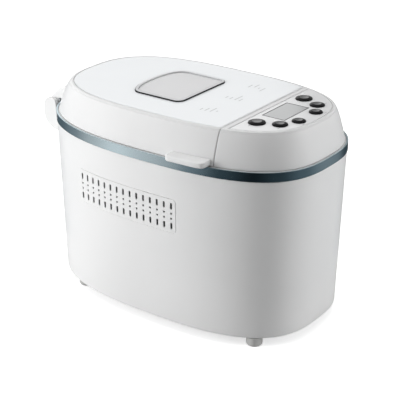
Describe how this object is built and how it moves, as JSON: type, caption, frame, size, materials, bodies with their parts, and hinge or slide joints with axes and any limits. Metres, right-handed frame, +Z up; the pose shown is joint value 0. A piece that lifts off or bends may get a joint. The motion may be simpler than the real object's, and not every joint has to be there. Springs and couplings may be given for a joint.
{
  "type": "bread machine",
  "caption": "Long-loaf bread machine: oval body on feet, metal trim band, rear-hinged windowed lid, push-button control head, oven, pan, kneading paddles and belt drive.",
  "frame": {"origin": "centre of the bounding box in plan, on the floor under the feet", "axes": "+X from the lid hinge towards the control panel, +Y to the user's right, +Z up"},
  "size_m": [0.4032, 0.2452, 0.2683],
  "materials": {
    "body_white": "smooth satin-gloss white moulding",
    "lid_panel": "satin cool-white inset panel",
    "trim_metal": "polished blue-grey trim band",
    "panel_silver": "satin silver-white control panel",
    "window_glass": "clear glass",
    "gasket_dark": "glossy dark seal",
    "display_lens": "clear display lens",
    "display_grey": "grey liquid-crystal display",
    "button_black": "glossy black",
    "foot_rubber": "pale grey rubber",
    "base_grey": "grey moulding",
    "sheet_aluminium": "satin sheet",
    "steel": "plain steel",
    "non_stick": "dark non-stick coating",
    "element_steel": "heat-tinted tube",
    "ceramic": "unglazed ceramic",
    "motor_metal": "zinc-plated can",
    "pulley_plastic": "dark moulding",
    "belt_rubber": "black rubber",
    "circuit_green": "circuit board",
    "silicone_red": "red silicone",
    "dark_plastic": "black moulding"
  },
  "bodies": {
    "housing": {"outer_body": "body_white", "vent_grille_left": "body_white", "vent_grille_right": "body_white", "top_deck": "body_white", "control_head": "body_white", "hinge_bracket": "body_white", "trim_band": "trim_metal", "control_overlay": "panel_silver", "lcd_lens": "display_lens", "lcd_module": "display_grey", "foot_front_left": "foot_rubber", "foot_front_right": "foot_rubber", "foot_rear_left": "foot_rubber", "foot_rear_right": "foot_rubber", "base_plate": "base_grey", "oven_cavity": "sheet_aluminium", "shaft_bearing_1": "sheet_aluminium", "shaft_bearing_2": "sheet_aluminium", "temperature_probe": "steel", "pan_clip": "steel", "heat_shield": "steel", "drive_frame": "steel", "hinge_pin": "steel", "heating_element": "element_steel", "element_terminal_block": "ceramic", "motor": "motor_metal", "motor_belt": "belt_rubber", "transfer_belt": "belt_rubber", "power_board": "circuit_green", "control_board": "circuit_green", "cord_gland": "dark_plastic"},
    "lid": {"lid_shell": "body_white", "lid_top_panel": "lid_panel", "window_gasket": "gasket_dark", "window_glass": "window_glass", "inner_glass_seal": "silicone_red", "inner_glass": "window_glass", "lid_liner": "sheet_aluminium", "lift_tab_left": "body_white", "lift_tab_right": "body_white", "lid_hinge_arm": "body_white"},
    "pan": {"bread_pan": "non_stick", "pan_bush_1": "steel", "pan_bush_2": "steel"},
    "pan_bail": {"pan_handle": "steel"},
    "paddle_1": {"pan_spindle_1": "steel", "kneading_paddle_1": "non_stick"},
    "paddle_2": {"pan_spindle_2": "steel", "kneading_paddle_2": "non_stick"},
    "drive_1": {"drive_shaft_1": "steel", "drive_pulley_1": "pulley_plastic"},
    "drive_2": {"drive_shaft_2": "steel", "drive_pulley_2": "pulley_plastic"},
    "motor_rotor": {"motor_pulley": "steel"},
    "button_menu_cap": {"button_menu": "button_black"},
    "button_up_cap": {"button_up": "button_black"},
    "button_down_cap": {"button_down": "button_black"},
    "button_size_cap": {"button_size": "button_black"},
    "button_crust_cap": {"button_crust": "button_black"},
    "button_start_cap": {"button_start": "button_black"}
  },
  "joints": [
    {"name": "lid_hinge", "type": "hinge", "parent": "housing", "child": "lid", "pos_m": [-0.18835, 0, 0.214], "axis": [0, -1, 0], "range_deg": [0, 85]},
    {"name": "pan_lift", "type": "slide", "parent": "housing", "child": "pan", "axis": [0, 0, 1], "range_m": [0, 0.04]},
    {"name": "pan_bail_swing", "type": "hinge", "parent": "pan", "child": "pan_bail", "pos_m": [-0.02335, 0, 0.196], "axis": [1, 0, 0], "range_deg": [0, 180]},
    {"name": "drive_1_spin", "type": "hinge", "parent": "housing", "child": "drive_1", "pos_m": [0.03165, 0, 0.037], "axis": [0, 0, 1], "continuous": true},
    {"name": "drive_2_spin", "type": "hinge", "parent": "housing", "child": "drive_2", "pos_m": [-0.07835, 0, 0.037], "axis": [0, 0, 1], "continuous": true},
    {"name": "motor_spin", "type": "hinge", "parent": "housing", "child": "motor_rotor", "pos_m": [0.15165, 0, 0.032], "axis": [0, 0, 1], "continuous": true},
    {"name": "paddle_1_spin", "type": "hinge", "parent": "pan", "child": "paddle_1", "pos_m": [0.03165, 0, 0.092], "axis": [0, 0, 1], "continuous": true},
    {"name": "paddle_2_spin", "type": "hinge", "parent": "pan", "child": "paddle_2", "pos_m": [-0.07835, 0, 0.092], "axis": [0, 0, 1], "continuous": true},
    {"name": "button_menu_press", "type": "slide", "parent": "housing", "child": "button_menu_cap", "axis": [0, 0, -1], "range_m": [0, 0.0012], "stiffness_N_per_m": 150, "springref_m": -0.001},
    {"name": "button_up_press", "type": "slide", "parent": "housing", "child": "button_up_cap", "axis": [0, 0, -1], "range_m": [0, 0.0012], "stiffness_N_per_m": 150, "springref_m": -0.001},
    {"name": "button_down_press", "type": "slide", "parent": "housing", "child": "button_down_cap", "axis": [0, 0, -1], "range_m": [0, 0.0012], "stiffness_N_per_m": 150, "springref_m": -0.001},
    {"name": "button_size_press", "type": "slide", "parent": "housing", "child": "button_size_cap", "axis": [0, 0, -1], "range_m": [0, 0.0012], "stiffness_N_per_m": 150, "springref_m": -0.001},
    {"name": "button_crust_press", "type": "slide", "parent": "housing", "child": "button_crust_cap", "axis": [0, 0, -1], "range_m": [0, 0.0012], "stiffness_N_per_m": 150, "springref_m": -0.001},
    {"name": "button_start_press", "type": "slide", "parent": "housing", "child": "button_start_cap", "axis": [0, 0, -1], "range_m": [0, 0.0012], "stiffness_N_per_m": 150, "springref_m": -0.001}
  ],
  "couplings": [
    {"joint": "drive_2_spin", "follows": "drive_1_spin", "ratio": 1},
    {"joint": "motor_spin", "follows": "drive_1_spin", "ratio": 5.3182},
    {"joint": "paddle_1_spin", "follows": "drive_1_spin", "ratio": 1},
    {"joint": "paddle_2_spin", "follows": "drive_1_spin", "ratio": 1}
  ]
}
